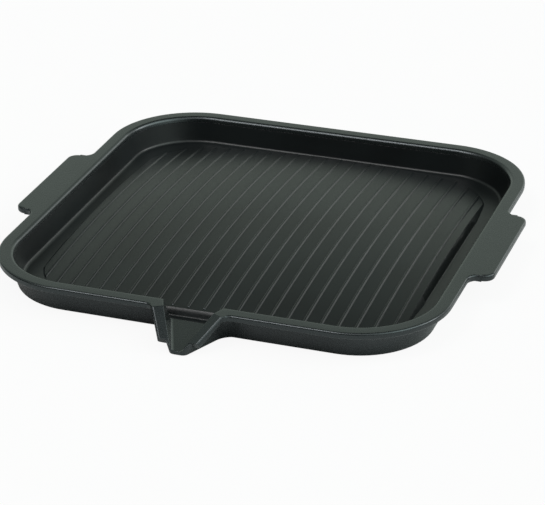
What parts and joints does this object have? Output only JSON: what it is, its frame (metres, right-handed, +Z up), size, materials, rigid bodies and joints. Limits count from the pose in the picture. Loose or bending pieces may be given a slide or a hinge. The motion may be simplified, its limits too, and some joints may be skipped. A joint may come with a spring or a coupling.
{
  "type": "camp griddle plate",
  "caption": "Square cast griddle plate for a portable stove, with a domed ribbed bed, a drip moat, flat tab handles, a pouring spout at the front and a non-stick lining",
  "frame": {"origin": "bottom centre of the whole outline, on the plane that the foot rests on", "axes": "+X right between the handles, +Y to the back, away from the spout, +Z up"},
  "size_m": [0.3504, 0.3416, 0.023],
  "materials": {
    "plate_casting": "black heat-proof coat, fine satin texture",
    "nonstick_lining": "black non-stick film, satin"
  },
  "bodies": {
    "root": {"plate_casting": "plate_casting", "nonstick_lining": "nonstick_lining"}
  },
  "joints": []
}
